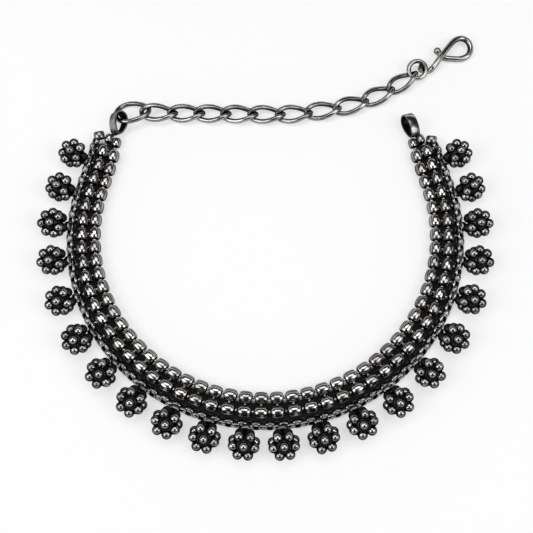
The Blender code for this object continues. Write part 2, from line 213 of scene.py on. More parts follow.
class ChokerDropSizes(bpy.types.PropertyGroup):
    """Sizes of the granulated ball drops."""

    drops: number("Drops", "Ball drops along the band", 22)
    first_angle: degrees("First drop", "Direction of the first drop", 158.5)
    last_angle: degrees("Last drop", "Direction of the last drop", 381.4)
    bunching: degrees("Bunching", "How far the drops crowd to the bottom", 2.1)
    radius: metres("Ball radius", "Radius over the granules", 0.0052)
    granule_radius: metres("Granule radius", "Radius of one granule", 0.00165)
    offset_ends: metres("End offset", "From the trim chain to a ball at the ends", 0.0050)
    offset_middle: metres("Middle offset", "From the trim chain to a ball at the bottom", 0.0063)
    bail_radius: metres("Bail radius", "Radius of the band a ball hangs from", 0.00105)
    bail_width: metres("Bail width", "Width of that band along the trim chain", 0.0026)
    bail_thickness: metres("Bail thickness", "Thickness of that band", 0.0005)
    bail_rise: metres("Bail rise", "How far it lies above the trim chain's middle", 0.0002)


class ChokerChainSizes(bpy.types.PropertyGroup):
    """Sizes of the extension chain, its ring and the hook."""

    wire: metres("Link wire", "Wire thickness of a link", 0.0017)
    length: metres("Link length", "Outer length of a link", 0.0140)
    width: metres("Link width", "Outer width of a link", 0.0072)
    first_width: metres("First link width", "Outer width of the first link", 0.0109)
    first_taper: fraction("First link taper", "How much narrower its far end is", 0.2)
    twist: degrees("Twist", "How far each end of a link is turned", 45.0)
    height: metres("Link height", "Height of a link's middle above the table", 0.00188)
    ring_outer: metres("Ring size", "Outer size of the round ring", 0.0080)
    ring_wire: metres("Ring wire", "Wire thickness of the round ring", 0.00165)
    hook_wire: metres("Hook wire", "Wire thickness of the hook", 0.0021)
    hook_ball: metres("Hook ball", "Size of the ball on the hook's tip", 0.0026)


class ChokerLoopSizes(bpy.types.PropertyGroup):
    """Sizes of the strip loops at the band's ends."""

    length: metres("Loop length", "Outer length of the teardrop", 0.0092)
    width: metres("Loop width", "Outer width of the teardrop", 0.0068)
    strip_width: metres("Strip width", "Width of the strip", 0.0033)
    strip_thickness: metres("Strip thickness", "Thickness of the strip", 0.00075)
    rounding: metres("Rounding", "Rounding of the strip's edges", 0.00012)


class ChokerFinish(bpy.types.PropertyGroup):
    """Colours of the oxidised silver."""

    polished: colour("Polished", "Silver rubbed bright on the high spots", (0.52, 0.51, 0.495))
    worn: colour("Worn", "Grey silver between bright and dark", (0.135, 0.132, 0.127))
    # This black is the oxide in recesses and also the painted shade that the vertex value asks for.
    oxide_and_shade_black: colour("Tarnished", "Black oxide in the recesses", (0.016, 0.017, 0.021))
    roughness: fraction("Roughness", "Roughness of the bright silver", 0.13)


class ChokerStudio(bpy.types.PropertyGroup):
    """Table, lights and camera."""

    floor: colour("Table", "Colour of the pale table", (0.37, 0.37, 0.37))
    glow: brightness("Glow", "Light that shines up through the table", 0.545)
    left_power: brightness("Left light", "Brightness of the left soft box", 4.1)
    right_power: brightness("Right light", "Brightness of the right soft box", 3.8)
    back_power: brightness("Back light", "Brightness of the soft box behind", 3.6)
    wall_glow: brightness("Wall glow", "Brightness of the low wall", 1.4)
    room_light: brightness("Room light", "Brightness of the room around", 0.03)
    wall_radius: metres("Wall radius", "Radius of the low wall", 0.9)
    wall_height: metres("Wall height", "Height of the low wall", 0.32)
    table_reach: metres("Table reach", "From the table's middle to its sides", 1.6)
    table_gap: metres("Table gap", "From the lowest metal down to the table", 0.00003)
    box_distance: metres("Light distance", "From the middle of the view to the soft boxes", 0.70)
    elevation: degrees("Elevation", "Camera angle above the table", 72.0)
    distance: metres("Distance", "From the camera to the middle of the view", 0.2516)


class ChokerSettings(bpy.types.PropertyGroup):
    """All the choker's settings."""

    band: PointerProperty(type=ChokerBandSizes)
    trim: PointerProperty(type=ChokerTrimSizes)
    drop: PointerProperty(type=ChokerDropSizes)
    chain: PointerProperty(type=ChokerChainSizes)
    loop: PointerProperty(type=ChokerLoopSizes)
    finish: PointerProperty(type=ChokerFinish)
    studio: PointerProperty(type=ChokerStudio)


# Shaders.


class Signal:
    """A value in a shader tree; arithmetic on it adds Math nodes."""

    def __init__(self, tree, socket):
        self.tree = tree
        self.socket = socket

    def _with(self, operation, first, second):
        return self.tree.add("ShaderNodeMath", {"operation": operation}, {0: first, 1: second})

    def __add__(self, other):
        return self._with("ADD", self, other)

    def __sub__(self, other):
        return self._with("SUBTRACT", self, other)

    def __rsub__(self, other):
        return self._with("SUBTRACT", other, self)

    def __mul__(self, other):
        return self._with("MULTIPLY", self, other)

    def __pow__(self, other):
        return self._with("POWER", self, other)

    __radd__ = __add__

    def clipped(self):
        """Return the value held between 0 and 1."""
        return self.tree.add("ShaderNodeMath", {"operation": "ADD", "use_clamp": True}, {0: self, 1: 0.0})


class ShaderTree:
    """A material's node tree, added to in short calls."""

    def __init__(self, name):
        self.material = bpy.data.materials.new(name)
        self.material.use_nodes = True
        self.nodes = self.material.node_tree.nodes
        self.links = self.material.node_tree.links
        self.shader = self.nodes["Principled BSDF"]

    def add(self, kind, settings=None, inputs=None, output=0):
        """Add a node, set it up, feed its sockets and return one of its outputs."""
        node = self.nodes.new(kind)
        for key, value in (settings or {}).items():
            if key == "stops":
                stops = node.color_ramp.elements
                while len(stops) < len(value):
                    stops.new(0.5)
                for stop, (place, tone) in zip(stops, value):
                    stop.position = place
                    stop.color = (tone, tone, tone, 1.0)
            else:
                setattr(node, key, value)
        for key, value in (inputs or {}).items():
            self.feed(node.inputs[key], value)
        return Signal(self, node.outputs[output])

    def feed(self, socket, value):
        """Link a signal to a socket, or set the socket to a number or colour."""
        if isinstance(value, Signal):
            self.links.new(value.socket, socket)
        elif isinstance(value, (tuple, list)) and len(value) == 3 and len(socket.default_value) == 4:
            socket.default_value = (*value, 1.0)
        else:
            socket.default_value = value

    def dress(self, values):
        """Feed the sockets of the material's own shader."""
        for key, value in values.items():
            self.feed(self.shader.inputs[key], value)

    def cloudy(self, place, scale, detail, roughness=0.5):
        """Return noise."""
        inputs = {"Vector": place, "Scale": scale, "Detail": detail, "Roughness": roughness}
        return self.add("ShaderNodeTexNoise", {}, inputs)

    def ramp(self, value, *stops):
        """Return a value led through the given stops, each a place and a tone."""
        return self.add("ShaderNodeValToRGB", {"stops": stops}, {0: value})

    def mix(self, share, first, second):
        """Return a colour between two colours."""
        return self.add("ShaderNodeMix", {"data_type": "RGBA"}, {0: share, 6: first, 7: second}, output=2)


def oxidised_silver(name, shine, seed, brushed=0.25):
    """Make oxidised silver: bright silver, black oxide and painted shade, cloudy patches, fine scratches,
    pits.

    shine says how much bright silver shows and brushed how strong the scratches are; the vertex value
    "recess" holds what stays black: oxide in recesses, and painted shade.
    """
    finish = bpy.context.scene.choker.finish
    tree = ShaderTree(name)
    shift = (seed * 0.013, seed * 0.007, seed * 0.003)
    here = tree.add("ShaderNodeTexCoord", output=3)
    place = tree.add("ShaderNodeMapping", {}, {"Vector": here, "Location": shift})
    drawn_out = {"Vector": place, "Scale": (1.0, 0.12, 1.0), "Rotation": (0.3, 0.2, 0.6)}
    clouds = tree.cloudy(place, 1.0 / (PATCH_SIZE * 3.0), 3.0, 0.6)
    grain = tree.cloudy(place, 1.0 / (PATCH_SIZE * 0.35), 2.0)
    scratches = tree.cloudy(tree.add("ShaderNodeMapping", {}, drawn_out), 1.0 / (PATCH_SIZE * 0.16), 2.0)
    recess = tree.add("ShaderNodeAttribute", {"attribute_name": "recess"}, output=2)
    patches = tree.ramp(clouds, (0.36, 0.0), (0.64, 1.0))
    speckle = tree.ramp(grain, (0.40, 0.0), (0.66, 1.0))
    bright = (shine + (patches - 0.5) * 0.5 + (scratches - 0.5) * brushed).clipped()
    metal = tree.mix(bright, tuple(finish.worn), tuple(finish.polished))
    # Black from the vertex value, oxide in recesses and painted shade, plus random tarnish specks.
    black = (recess * 1.15 + speckle * 0.16 * (1.3 - bright) - 0.04).clipped()
    rough = finish.roughness + (1.0 - bright) * 0.10 + black * 0.16 + (scratches - 0.5) * 0.10
    relief = scratches * 0.35 + grain * 0.4 + clouds * 0.25
    tree.dress({
        "Base Color": tree.mix(black, metal, tuple(finish.oxide_and_shade_black)),
        "Roughness": rough.clipped(),
        "Metallic": 1.0,
        "Specular Tint": (0.3, 0.3, 0.3),
        "Normal": tree.add("ShaderNodeBump", {}, {"Strength": 0.16, "Distance": 0.00006, "Height": relief}),
    })
    return tree.material


# Modelling helpers.


def clip(value):
    """Return a number held between 0 and 1."""
    return min(1.0, max(0.0, value))


def new_part():
    """Return an empty mesh with the vertex value that says how black each place stays, from oxide and painted
    shade.
    """
    bm = bmesh.new()
    bm.verts.layers.float.new("recess")
    return bm


def mark_oxide_and_shade(bm, verts, blackness):
    """Set how black some vertices stay; blackness is a number, or gives one for each vertex."""
    layer = bm.verts.layers.float["recess"]
    for vert in verts:
        vert[layer] = blackness(vert) if callable(blackness) else blackness


def new_verts(bm, before):
    """Return the vertices added since a mesh had this many."""
    bm.verts.ensure_lookup_table()
    return bm.verts[before:]


def add_copy(bm, pattern, place):
    """Add a copy of a small mesh at a place and return its vertices."""
    before = len(bm.verts)
    bm.from_mesh(pattern)
    verts = new_verts(bm, before)
    bmesh.ops.transform(bm, matrix=place, verts=verts)
    return verts


def rest_on_table(bm, always=True):
    """Move a mesh so that its lowest point touches the table, or only lift it there."""
    low = min(vert.co.z for vert in bm.verts)
    if always or low < 0.0:
        bmesh.ops.translate(bm, verts=bm.verts, vec=(0.0, 0.0, -low))


def loop_edges(verts):
    """Return the edges that join a ring's own vertices."""
    ring = set(verts)
    return [e for e in {e for v in verts for e in v.link_edges} if e.verts[0] in ring and e.verts[1] in ring]


def first_ring(bm, sides, place):
    """Add an open ring of radius 1 lying across a place's own Z."""
    made = bmesh.ops.create_circle(bm, segments=sides, radius=1.0, matrix=place)
    return loop_edges(made["verts"])


def next_ring(bm, edges, here, there):
    """Extrude a ring of edges and carry the new one from one place to another."""
    made = bmesh.ops.extrude_edge_only(bm, edges=edges)["geom"]
    verts = [item for item in made if isinstance(item, bmesh.types.BMVert)]
    bmesh.ops.transform(bm, matrix=there @ here.inverted(), verts=verts)
    return [item for item in made if isinstance(item, bmesh.types.BMEdge) and item.is_boundary]


def pull(bm, ring, places, closed=False):
    """Extrude a ring through a list of places, then join the last to the first or cap both ends."""
    start = ring
    for here, there in zip(places, places[1:]):
        ring = next_ring(bm, ring, here, there)
    if closed:
        bmesh.ops.bridge_loops(bm, edges=start + ring)
    else:
        bmesh.ops.contextual_create(bm, geom=start)
        bmesh.ops.contextual_create(bm, geom=ring)


def station(point, along, outward, size, depth=None):
    """Return a place at a point: its Z runs along the line, its X points outwards."""
    along = along.normalized()
    x = (outward - along * outward.dot(along)).normalized()
    y = along.cross(x)
    turn = Matrix((x, y, along)).transposed().to_4x4()
    return Matrix.Translation(point) @ turn @ Matrix.Diagonal((size, depth or size, size, 1.0))


def stations_round(points, outwards, size, depth=None):
    """Return places round a closed line, each with its X pointing its own way outwards."""
    count = len(points)
    runs = [points[(k + 1) % count] - points[k - 1] for k in range(count)]
    return [station(point, run, out, size, depth) for point, run, out in zip(points, runs, outwards)]


def stations_along(points, sizes):
    """Return places along an open line, carried on from each to the next without twist."""
    places = []
    side = None
    for k, point in enumerate(points):
        along = (points[min(k + 1, len(points) - 1)] - points[max(k - 1, 0)]).normalized()
        side = along.cross(UP) if side is None else side
        side = (side - along * side.dot(along)).normalized()
        places.append(station(point, along, side, sizes[k]))
    return places


def bend_wire(bm, points, outwards, sides, size, depth=None):
    """Bend a wire round a closed line, size and depth being its half widths."""
    places = stations_round(points, outwards, size, depth)
    pull(bm, first_ring(bm, sides, places[0]), places, closed=True)


def bend_strip(bm, points, across, width, thickness):
    """Bend a flat strip round a closed line, with its width lying across."""
    places = stations_round(points, [across] * len(points), width / math.sqrt(2), thickness / math.sqrt(2))
    square = places[0] @ Matrix.Rotation(math.pi / 4, 4, "Z")
    pull(bm, first_ring(bm, 4, square), places, closed=True)


def round_off(bm, edges, offset, segments):
    """Round off some edges."""
    bmesh.ops.bevel(
        bm, geom=edges, offset=offset, offset_type="OFFSET", segments=segments, profile=0.5,
        affect="EDGES", material=-1,
    )


def smooth_line(points, steps):
    """Return points on a smooth curve through the given bends."""
    line = []
    for k in range(len(points) - 1):
        before = points[max(k - 1, 0)]
        a, b = points[k], points[k + 1]
        after = points[min(k + 2, len(points) - 1)]
        line += geometry.interpolate_bezier(a, a + (b - before) / 6, b - (after - a) / 6, b, steps + 1)[:-1]
    return line + [points[-1]]


def to_mesh(bm, name):
    """Turn a worked mesh into mesh data."""
    mesh = bpy.data.meshes.new(name)
    bm.to_mesh(mesh)
    bm.free()
    return mesh


def put(name, data):
    """Put an object in the scene."""
    item = bpy.data.objects.new(name, data)
    bpy.context.scene.collection.objects.link(item)
    return item


def show(mesh, name, material):
    """Put a mesh in the scene."""
    mesh.materials.append(material)
    return put(name, mesh)


def finish_piece(bm, name, material, sharp, node):
    """Turn a mesh into a finished piece that stands for one CAD node."""
    bmesh.ops.recalc_face_normals(bm, faces=bm.faces)
    bmesh.ops.translate(bm, verts=bm.verts, vec=FRAME_SHIFT)
    mesh = to_mesh(bm, name)
    mesh.shade_smooth()
    mesh.set_sharp_from_angle(angle=math.radians(sharp))
    piece = show(mesh, name, material)
    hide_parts(node)
    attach(piece, "root")


# The band.


def spring(band, bead):
    """Return how far a place along the band has sprung outwards at its ends."""
    left = max(0.0, SPRING_BEADS - bead) / SPRING_BEADS
    right = max(0.0, bead - (band.beads - 1 - SPRING_BEADS)) / SPRING_BEADS
    return band.spring_left * left ** SPRING_POWER + band.spring_right * right ** SPRING_POWER


def plain_spacing(band, bead):
    """Return the distance between the bead rows, leaving out the squeeze at the very ends."""
    share = clip(bead / (band.beads - 1))
    return band.row_pitch + (band.middle_spacing - band.row_pitch) * math.sin(math.pi * share) ** 2


def row_spacing(band, bead):
    """Return the distance between the bead rows."""
    squeeze = clip(1.0 - min(bead, band.beads - 1 - bead))
    plain = plain_spacing(band, bead)
    return plain + (band.end_scale * band.row_pitch - plain) * squeeze


def band_point(band, bead, offset, height):
    """Return a point of the band, offset outwards from the inner row."""
    angle = band.first_angle + (band.last_angle - band.first_angle) * bead / (band.beads - 1)
    reach = band.radius + spring(band, bead) + offset
    return Vector((band.centre_x + reach * math.cos(angle), band.centre_y + reach * math.sin(angle), height))


def crowded_point(band, bead, offset, height):
    """Return a point of the bead rows, whose beads crowd a little towards the ends."""
    shift = band.crowding * math.cos(2 * math.pi * bead / (band.beads - 1))
    return band_point(band, bead + shift, offset - band.row_inset, height)


def barrel_bead(band):
    """Model a barrel bead lying along X, with collars at its ends and four long grooves."""
    bm = new_part()
    half = band.bead_length / 2
    radius = band.bead_radius
    profile = [(-x, r) for x, r in BEAD_SIDE] + [(0.0, 1.0)] + [(x, r) for x, r in reversed(BEAD_SIDE)]
    along = Vector((1.0, 0.0, 0.0))
    places = [station(along * (half * x), along, UP, radius * r) for x, r in profile]
    pull(bm, first_ring(bm, 32, places[0]), places)

    def groove(vert):
        turn = math.degrees(math.atan2(vert.co.y, vert.co.z)) % 90.0
        return max(0.0, 1.0 - abs(turn - 45.0) / 11.0)

    # Grooves and collars keep black oxide; painted shade darkens the bead's lower side.
    def blackness(vert):
        share = abs(vert.co.x) / half
        collar = 1.0 if 0.89 < share < 0.94 or share > 0.97 else 0.0
        painted_low_shade = 0.75 * clip((0.50 - vert.co.z / radius) * 1.2)
        return max(0.9 * groove(vert), 0.9 * collar, painted_low_shade)

    for vert in bm.verts:
        sunk = 1.0 - band.groove_depth * groove(vert) * (1.0 if abs(vert.co.x) < half * 0.88 else 0.0)
        vert.co.y *= sunk
        vert.co.z *= sunk
    mark_oxide_and_shade(bm, bm.verts, blackness)
    return to_mesh(bm, "bead_pattern")


def small_ball(radius, segments=10, rings=6):
    """Model a small round ball."""
    bm = new_part()
    bmesh.ops.create_uvsphere(bm, u_segments=segments, v_segments=rings, radius=radius)
    return to_mesh(bm, "ball_pattern")


def bead_place(band, outer, bead):
    """Return a bead's middle and its scale."""
    offset = row_spacing(band, bead) if outer else 0.0
    scale = band.end_scale if bead < 0.5 or bead > band.beads - 1.5 else 1.0
    return crowded_point(band, bead, offset, band.bead_radius * scale), scale


def tie_rows(bm, band, spacer, bead, centre):
    """Tie an outer bead to its inner one, and add the knob between it and the trim chain."""
    tie = (centre + crowded_point(band, bead, 0.0, band.bead_radius)) / 2
    tie.z = band.bead_radius * 1.15
    add_copy(bm, spacer, Matrix.Translation(tie) @ Matrix.Scale(band.tie_scale, 4))
    beside_bottom = abs(bead - (band.beads - 1) / 2) > band.beads * 0.2
    if beside_bottom:
        offset = row_spacing(band, bead) + band.bead_radius + band.knob_gap
        add_copy(bm, spacer, Matrix.Translation(crowded_point(band, bead, offset, band.knob_height)))


def bead_row(band, outer, name, node, material):
    """String the barrel beads of one row, with a small round spacer between each two."""
    bead_mesh = barrel_bead(band)
    spacer = small_ball(band.spacer_radius)
    bm = new_part()
    last = band.beads - 1
    for bead in range(band.beads):
        centre, scale = bead_place(band, outer, bead)
        ahead = bead_place(band, outer, min(bead + 0.4, last))[0]
        behind = bead_place(band, outer, max(bead - 0.4, 0.0))[0]
        heading = math.atan2(ahead.y - behind.y, ahead.x - behind.x)
        wobble = 0.12 * noise.noise(Vector((bead * 1.7, 3.1 if outer else 0.0, 0.0)))
        turn = Matrix.Rotation(heading, 4, "Z") @ Matrix.Rotation(wobble, 4, "X")
        length_scale = band.end_length_scale if scale < 1.0 else 1.0
        shrink = Matrix.Diagonal((length_scale, scale, scale, 1.0))
        add_copy(bm, bead_mesh, Matrix.Translation(centre) @ turn @ shrink)
        if bead < last:
            following = bead_place(band, outer, bead + 1)[0]
            add_copy(bm, spacer, Matrix.Translation((centre + following) / 2 + UP * band.spacer_radius))
        if outer and 0 < bead < last:
            tie_rows(bm, band, spacer, bead, centre)
    bpy.data.meshes.remove(bead_mesh)
    bpy.data.meshes.remove(spacer)
    finish_piece(bm, name, material, 32.0, node)


class CHOKER_OT_bead_rows(bpy.types.Operator):
    """Build the two rows of fluted barrel beads."""

    bl_idname = "choker.bead_rows"
    bl_label = "Bead rows"

    def execute(self, context):
        band = context.scene.choker.band
        material = oxidised_silver("bead_silver", 0.45, 1.0)
        bead_row(band, False, "inner_barrel_beads", "inner_bead_row", material)
        bead_row(band, True, "outer_barrel_beads", "outer_bead_row", material)
        return {"FINISHED"}


# The trim chain.


def box_link(trim, sunk):
    """Model a strip link bent to a rounded box, its length along X; a sunk link gets painted shade at its
    foot.
    """
    half_length = (trim.link_length - trim.strip_thickness) / 2
    half_height = (trim.link_height - trim.strip_thickness) / 2
    steps = 12
    points = []
    for k in range(steps):
        turn = 2 * math.pi * (k + 0.5) / steps
        c, s = math.cos(turn), math.sin(turn)
        grow = (abs(c) ** BOX_SQUARENESS + abs(s) ** BOX_SQUARENESS) ** (-1 / BOX_SQUARENESS)
        points.append(Vector((c * grow * half_length, s * grow * half_height, 0.0)))
    bm = new_part()
    bend_strip(bm, points, UP, trim.strip_width, trim.strip_thickness)
    flat_rims = [e for e in bm.edges if abs(e.verts[0].co.z - e.verts[1].co.z) < trim.strip_width * 0.1]
    rims = [e for e in flat_rims if e.calc_face_angle(0.0) > 1.0]
    round_off(bm, rims, trim.strip_thickness * 0.3, 1)

    # Inside a link it stays black, oxide with painted shade; a sunk link's foot gets painted shade; the outer
    # face gets a painted reflection, dark in the middle and bright at the corners.
    def blackness(vert):
        x, y = abs(vert.co.x) / half_length, abs(vert.co.y) / half_height
        inner = x ** BOX_SQUARENESS + y ** BOX_SQUARENESS < 1.0
        rim = abs(vert.co.z) > trim.strip_width * 0.49
        if sunk and vert.co.y < -0.1 * trim.link_height:
            return 1.0
        if rim:
            return 0.7 if inner else 0.0
        return 1.0 if inner else 0.10 + 0.70 * max(0.0, 1.0 - x * 1.4)

    mark_oxide_and_shade(bm, bm.verts, blackness)
    return to_mesh(bm, "box_link_pattern")


class CHOKER_OT_trim_chain(bpy.types.Operator):
    """Build the fine box chain that lies along the outer row."""

    bl_idname = "choker.trim_chain"
    bl_label = "Trim chain"

    def execute(self, context):
        band = context.scene.choker.band
        trim = context.scene.choker.trim
        links = [box_link(trim, sunk) for sunk in (False, True)]
        bm = new_part()
        last = band.beads - 1
        for k in range(trim.links):
            bead = trim.start + (last - 2 * trim.start) * (k + 0.5) / trim.links
            curl = max(0.0, 1.0 - min(bead, last - bead)) ** 2
            offset = plain_spacing(band, bead) + trim.offset - trim.end_curl * curl
            here = band_point(band, bead, offset, trim.height)
            ahead = band_point(band, bead + 0.2, offset, trim.height)
            heading = math.atan2(ahead.y - here.y, ahead.x - here.x)
            tilt = 45.0 if k % 2 else -45.0
            at_end = k in (0, trim.links - 1)
            if at_end:
                heading += math.radians(END_LINK_TURN if k else -END_LINK_TURN)
                tilt = END_LINK_TILT
                here.z *= END_LINK_RISE
            turn = Matrix.Rotation(heading, 4, "Z") @ Matrix.Rotation(math.radians(tilt), 4, "X")
            growth = Matrix.Diagonal((*END_LINK_GROWTH, 1.0)) if at_end else Matrix()
            added = add_copy(bm, links[k % 2], Matrix.Translation(here) @ turn @ growth)
            if at_end:
                # Painted shade darkens the two end links all over.
                mark_oxide_and_shade(bm, added, 0.55)
        for link in links:
            bpy.data.meshes.remove(link)
        material = oxidised_silver("trim_silver", 1.0, 2.0)
        finish_piece(bm, "trim_box_chain", material, 80.0, "edge_chain")
        return {"FINISHED"}


# Ball drops.


def camera_point(studio):
    """Return where the camera stands, in the same places as the tables above."""
    return Vector((0.0, -math.cos(studio.elevation), math.sin(studio.elevation))) * studio.distance


def drop_angle(drop, index):
    """Return a drop's direction from the band's middle; the drops crowd towards the bottom."""
    even = drop.first_angle + (drop.last_angle - drop.first_angle) * index / (drop.drops - 1)
    turn = 2 * math.pi * (index - BUNCHING_MIDDLE) / BUNCHING_SPREAD
    return even - drop.bunching * math.sin(min(max(turn, -math.pi), math.pi))


def drop_place(settings, index):
    """Return a ball's middle, its outward direction and the point of the trim chain it hangs from."""
    band, trim, drop = settings.band, settings.trim, settings.drop
    angle = drop_angle(drop, index)
    bead = (band.beads - 1) * (angle - band.first_angle) / (band.last_angle - band.first_angle)
    hold = band_point(band, bead, plain_spacing(band, bead) + trim.offset, trim.radius)
    outward = Vector((math.cos(angle), math.sin(angle), 0.0))
    arch = math.sin(math.pi * index / (drop.drops - 1))
    centre = hold + outward * (drop.offset_ends + (drop.offset_middle - drop.offset_ends) * arch)
    centre.z = drop.radius
    return centre, outward, hold


def granule_pattern(edge):
    """Return a ball's granules and the sign of its sideways axis; edge is -1 and 1 at the band's ends."""
    if abs(edge) > 0.82:
        return TURNED_TIP, (-1.0 if edge > 0 else 1.0)
    return (SINGLE_TIP if abs(edge) > 0.43 else PAIRED_TIP), 1.0


def add_granules(bm, drop, granule, pattern, centre, axes, towards):
    """Solder granules round a ball: bright where they stand proud, with painted highlight facing the viewer.
    """
    for aim in pattern:
        direction = (axes @ Vector(aim)).normalized()
        point = centre + direction * (drop.radius - drop.granule_radius)
        # Painted shade blackens the granules at the neck, under the trim chain.
        neck_shade = 0.8 if aim[1] < -0.8 else 0.0

        # Bright on the proud outer cap and, as a painted highlight, where it faces the viewer; painted shade
        # elsewhere.
        def blackness(vert):
            normal = (vert.co - point) / drop.granule_radius
            rubbed_and_highlit = max(normal.dot(direction) * 0.91, normal.dot(towards))
            return min(1.0, max(0.0, 0.97 - rubbed_and_highlit) * 2.5 + neck_shade)

        turn = direction.to_track_quat("Z", "Y").to_matrix().to_4x4()
        mark_oxide_and_shade(bm, add_copy(bm, granule, Matrix.Translation(point) @ turn), blackness)


def add_bail(bm, drop, trim, centre, hold):
    """Bend the small band that a ball hangs from round the trim chain."""
    neck = (centre - hold).normalized()
    rise = UP.cross(neck).normalized().cross(neck)
    middle = hold + neck * (drop.bail_radius * 0.8 + trim.radius * 0.25) + UP * drop.bail_rise
    steps = 18
    turns = [2 * math.pi * k / steps for k in range(steps)]
    outwards = [neck * math.cos(turn) + rise * math.sin(turn) for turn in turns]
    points = [middle + outward * drop.bail_radius for outward in outwards]
    before = len(bm.verts)
    bend_wire(bm, points, outwards, 12, drop.bail_thickness / 2, drop.bail_width / 2)

    # Painted shade darkens the bail, more on the side that wraps round the trim chain.
    def blackness(vert):
        return 0.45 if (vert.co - middle).dot(neck) > drop.bail_radius * 0.2 else 0.7

    mark_oxide_and_shade(bm, new_verts(bm, before), blackness)


class CHOKER_OT_ball_drops(bpy.types.Operator):
    """Build the granulated ball drops on their small bails."""

    bl_idname = "choker.ball_drops"
    bl_label = "Ball drops"

    def execute(self, context):
        settings = context.scene.choker
        drop = settings.drop
        material = oxidised_silver("drop_silver", 0.42, 3.0)
        granule = small_ball(drop.granule_radius, 12, 8)
        core = small_ball(drop.radius - drop.granule_radius * 1.15, 20, 12)
        eye = camera_point(settings.studio)
        for index in range(drop.drops):
            centre, outward, hold = drop_place(settings, index)
            towards = (eye - centre).normalized()
            away = (outward - towards * outward.dot(towards)).normalized()
            edge = 2 * index / (drop.drops - 1) - 1.0
            pattern, mirror = granule_pattern(edge)
            sway = -0.11 * min(max(edge * 1.3, -1.0), 1.0)
            jitter = 0.05 * noise.noise(Vector((index * 2.3, 0.0, 5.0)))
            turn = Matrix.Rotation(sway, 3, away) @ Matrix.Rotation(jitter, 3, towards)
            axes = turn @ Matrix((towards.cross(away) * mirror, away, towards)).transposed()
            bm = new_part()
            mark_oxide_and_shade(bm, add_copy(bm, core, Matrix.Translation(centre)), 1.0)
            add_granules(bm, drop, granule, pattern, centre, axes, towards)
            add_bail(bm, drop, settings.trim, centre, hold)
            name, node = "granulated_ball_%02d" % (index + 1), "ball_drop_%02d" % (index + 1)
            finish_piece(bm, name, material, 60.0, node)
        bpy.data.meshes.remove(granule)
        bpy.data.meshes.remove(core)
        return {"FINISHED"}


# Extension chain, ring and hook.


def lie(centre, heading, rise, roll):
    """Return where a link lies: its middle in mm, then its turns in degrees."""
    turn = Matrix.Rotation(math.radians(heading), 4, "Z") @ Matrix.Rotation(-math.radians(rise), 4, "Y")
    return Matrix.Translation(Vector(centre) * MM) @ turn @ Matrix.Rotation(math.radians(roll), 4, "X")


def link_place(chain, index):
    """Return where a link of the extension chain lies."""
    if index == 0:
        return lie(*FIRST_LINK)
    if index == len(CHAIN_PATH):
        return lie((*CHAIN_PATH[-1], LAST_LINK_HEIGHT), *LAST_LINK_TURNS)
    before, after = CHAIN_PATH[max(index - 2, 0)], CHAIN_PATH[index]
    heading = math.degrees(math.atan2(after[1] - before[1], after[0] - before[0]))
    height, rise = (SECOND_LINK_HEIGHT, SECOND_LINK_RISE) if index == 1 else (chain.height / MM, 0.0)
    return lie((*CHAIN_PATH[index - 1], height), heading, rise, 0.0)


def wire_oval(place, length, width, wire, ends, twist=0.0, taper=0.0, steps=44, sides=12):
    """Bend a round wire to an oval and blacken its inner side and, by a share, its two ends with painted
    shade.

    The oval is twisted about its long axis by twist, and taper narrows its far end.
    """
    half_length, half_width = (length - wire) / 2, (width - wire) / 2
    along = Vector((1.0, 0.0, 0.0))
    points = []
    outwards = []
    for k in range(steps):
        turn = 2 * math.pi * k / steps
        lean = -twist * math.cos(turn)
        across = Vector((0.0, math.cos(lean), math.sin(lean)))
        swing = half_width * math.sin(turn) * (1.0 - taper * math.cos(turn))
        points.append(place @ (along * (half_length * math.cos(turn)) + across * swing))
        outwards.append(place.to_3x3() @ (along * math.cos(turn) + across * math.sin(turn)))
    bm = new_part()
    bend_wire(bm, points, outwards, sides, wire / 2)
    bm.normal_update()
    back = place.inverted()

    def blackness(vert):
        local = back @ vert.co
        ring = math.hypot(local.x / half_length, math.hypot(local.y, local.z) / half_width)
        # Painted shade on the inner side, lighter where it faces up, and on the two ends.
        inner = clip((1.02 - ring) / 0.16) * (1.0 - 0.6 * max(0.0, vert.normal.z))
        end = clip((abs(local.x) / half_length - 0.7) / 0.25)
        return min(1.0, 0.95 * inner + ends * end)

    mark_oxide_and_shade(bm, bm.verts, blackness)
    return bm


class CHOKER_OT_extension_chain(bpy.types.Operator):
    """Build the twisted oval links of the extension chain."""

    bl_idname = "choker.extension_chain"
    bl_label = "Extension chain"

    def execute(self, context):
        chain = context.scene.choker.chain
        material = oxidised_silver("link_silver", 0.42, 4.0, brushed=0.5)
        for index in range(len(CHAIN_PATH) + 1):
            place = link_place(chain, index)
            if index == 0:
                width, bend = chain.first_width, {"taper": chain.first_taper}
            else:
                width, bend = chain.width, {"twist": chain.twist}
            bm = wire_oval(place, chain.length, width, chain.wire, 0.6, **bend)
            rest_on_table(bm, always=False)
            name, node = "curb_link_%02d" % (index + 1), "chain_link_%02d" % (index + 1)
            finish_piece(bm, name, material, 60.0, node)
        return {"FINISHED"}


def hook_line(chain):
    """Return the points of the hook and its ball, and the half thickness at each."""
    line = smooth_line([Vector(p) * MM for p in HOOK_PATH], 5)
    sizes = [chain.hook_wire / 2] * len(line)
    ball = chain.hook_ball / 2
    heading = (line[-1] - line[-2]).normalized()
    tip = line[-1].copy()
    steps = 12
    for k in range(1, steps):
        reach = 1.0 - math.cos(math.pi * k / steps)
        size = ball * math.sin(math.pi * k / steps)
        inside_wire = reach < 0.3 and size < chain.hook_wire / 2
        if not inside_wire:
            line.append(tip + heading * (ball * reach - ball * 0.2))
            sizes.append(size)
    return line, sizes


